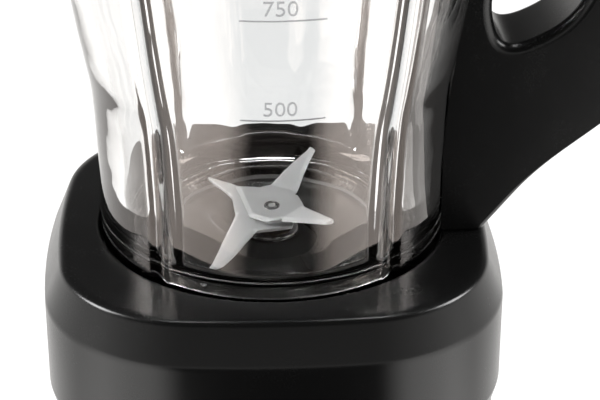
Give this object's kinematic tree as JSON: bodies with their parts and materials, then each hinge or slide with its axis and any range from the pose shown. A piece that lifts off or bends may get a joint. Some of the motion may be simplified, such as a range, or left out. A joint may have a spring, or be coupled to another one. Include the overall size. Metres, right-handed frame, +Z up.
{
  "type": "countertop blender",
  "caption": "Countertop blender with a rounded square black motor base, a flared clear glass jar with a black side handle, a winged steel blade, a lid and a measuring cap.",
  "frame": {"origin": "middle of the object's bounding box, on the counter it stands on", "axes": "+Z up, -Y to the front with the control knob, +X to the jar's handle"},
  "size_m": [0.204, 0.1606, 0.359],
  "materials": {
    "satin_black": "fine satin",
    "inner_black": "matte",
    "black_rubber": "matte",
    "grey_silicone": "matte",
    "zinc_steel": "bright",
    "cast_aluminium": "cast",
    "bearing_bronze": "machined",
    "core_steel": "laminated",
    "winding_copper": "enamelled",
    "commutator_copper": "turned",
    "brush_brass": "drawn",
    "brush_carbon": "matte",
    "shaft_steel": "ground",
    "fan_nylon": "moulded",
    "coupling_nylon": "moulded",
    "trim_chrome": "polished",
    "switch_plastic": "moulded",
    "pointer_white": "satin",
    "board_green": "lacquered",
    "component_black": "moulded",
    "jar_clear_glass": "clear",
    "floor_steel": "concentric brushed",
    "blade_steel": "ground",
    "cap_clear": "clear plastic"
  },
  "bodies": {
    "base": {"top_shell": "satin_black", "lower_shell": "satin_black", "bottom_cover": "inner_black", "feet": "black_rubber", "cover_screws": "zinc_steel", "case_screws": "zinc_steel", "seat_cushion": "black_rubber", "motor_dampers": "black_rubber", "bracket_screws": "zinc_steel", "upper_bracket": "cast_aluminium", "lower_bracket": "cast_aluminium", "motor_bolts": "zinc_steel", "upper_bearing": "bearing_bronze", "lower_bearing": "bearing_bronze", "stator_core": "core_steel", "field_coils": "winding_copper", "brush_holders": "brush_brass", "carbon_brushes": "brush_carbon", "fan_shroud": "inner_black", "control_ring": "trim_chrome", "rotary_switch": "switch_plastic", "switch_nut": "zinc_steel", "control_board": "board_green", "board_components": "component_black", "cord_gland": "black_rubber"},
    "rotor": {"motor_shaft": "shaft_steel", "armature_core": "core_steel", "armature_windings": "winding_copper", "commutator": "commutator_copper", "cooling_fan": "fan_nylon", "drive_coupling": "coupling_nylon"},
    "dial": {"knob": "satin_black", "knob_pointer": "pointer_white", "switch_shaft": "shaft_steel"},
    "jar": {"jar_glass": "jar_clear_glass", "handle_front": "satin_black", "handle_rear": "satin_black", "handle_screws": "zinc_steel", "holder_seal": "grey_silicone", "floor_disc": "floor_steel", "blade_holder": "inner_black", "jar_collar": "cast_aluminium", "blade_bushing": "bearing_bronze", "bushing_ring": "trim_chrome"},
    "blades": {"upper_blade": "blade_steel", "lower_blade": "blade_steel", "blade_spacer": "shaft_steel", "blade_shaft": "shaft_steel", "jar_coupling": "coupling_nylon"},
    "lid_unit": {"lid": "satin_black", "lid_seal": "grey_silicone"},
    "cap": {"measuring_cap": "cap_clear"}
  },
  "joints": [
    {"name": "motor_spin", "type": "hinge", "parent": "base", "child": "rotor", "pos_m": [-0.01901, 0.00563, 0.08], "axis": [0, 0, 1], "continuous": true},
    {"name": "knob_turn", "type": "hinge", "parent": "base", "child": "dial", "pos_m": [-0.01901, -0.06937, 0.054], "axis": [0, -1, 0], "range_deg": [-90, 45]},
    {"name": "jar_lift", "type": "slide", "parent": "base", "child": "jar", "axis": [0, 0, 1], "range_m": [0, 0.08]},
    {"name": "blade_spin", "type": "hinge", "parent": "jar", "child": "blades", "pos_m": [-0.01901, 0.00563, 0.14], "axis": [0, 0, 1], "continuous": true},
    {"name": "lid_lift", "type": "slide", "parent": "jar", "child": "lid_unit", "axis": [0, 0, 1], "range_m": [0, 0.05]},
    {"name": "cap_lift", "type": "slide", "parent": "lid_unit", "child": "cap", "axis": [0, 0, 1], "range_m": [0, 0.045]}
  ],
  "couplings": [
    {"joint": "blade_spin", "follows": "motor_spin", "ratio": 1}
  ]
}
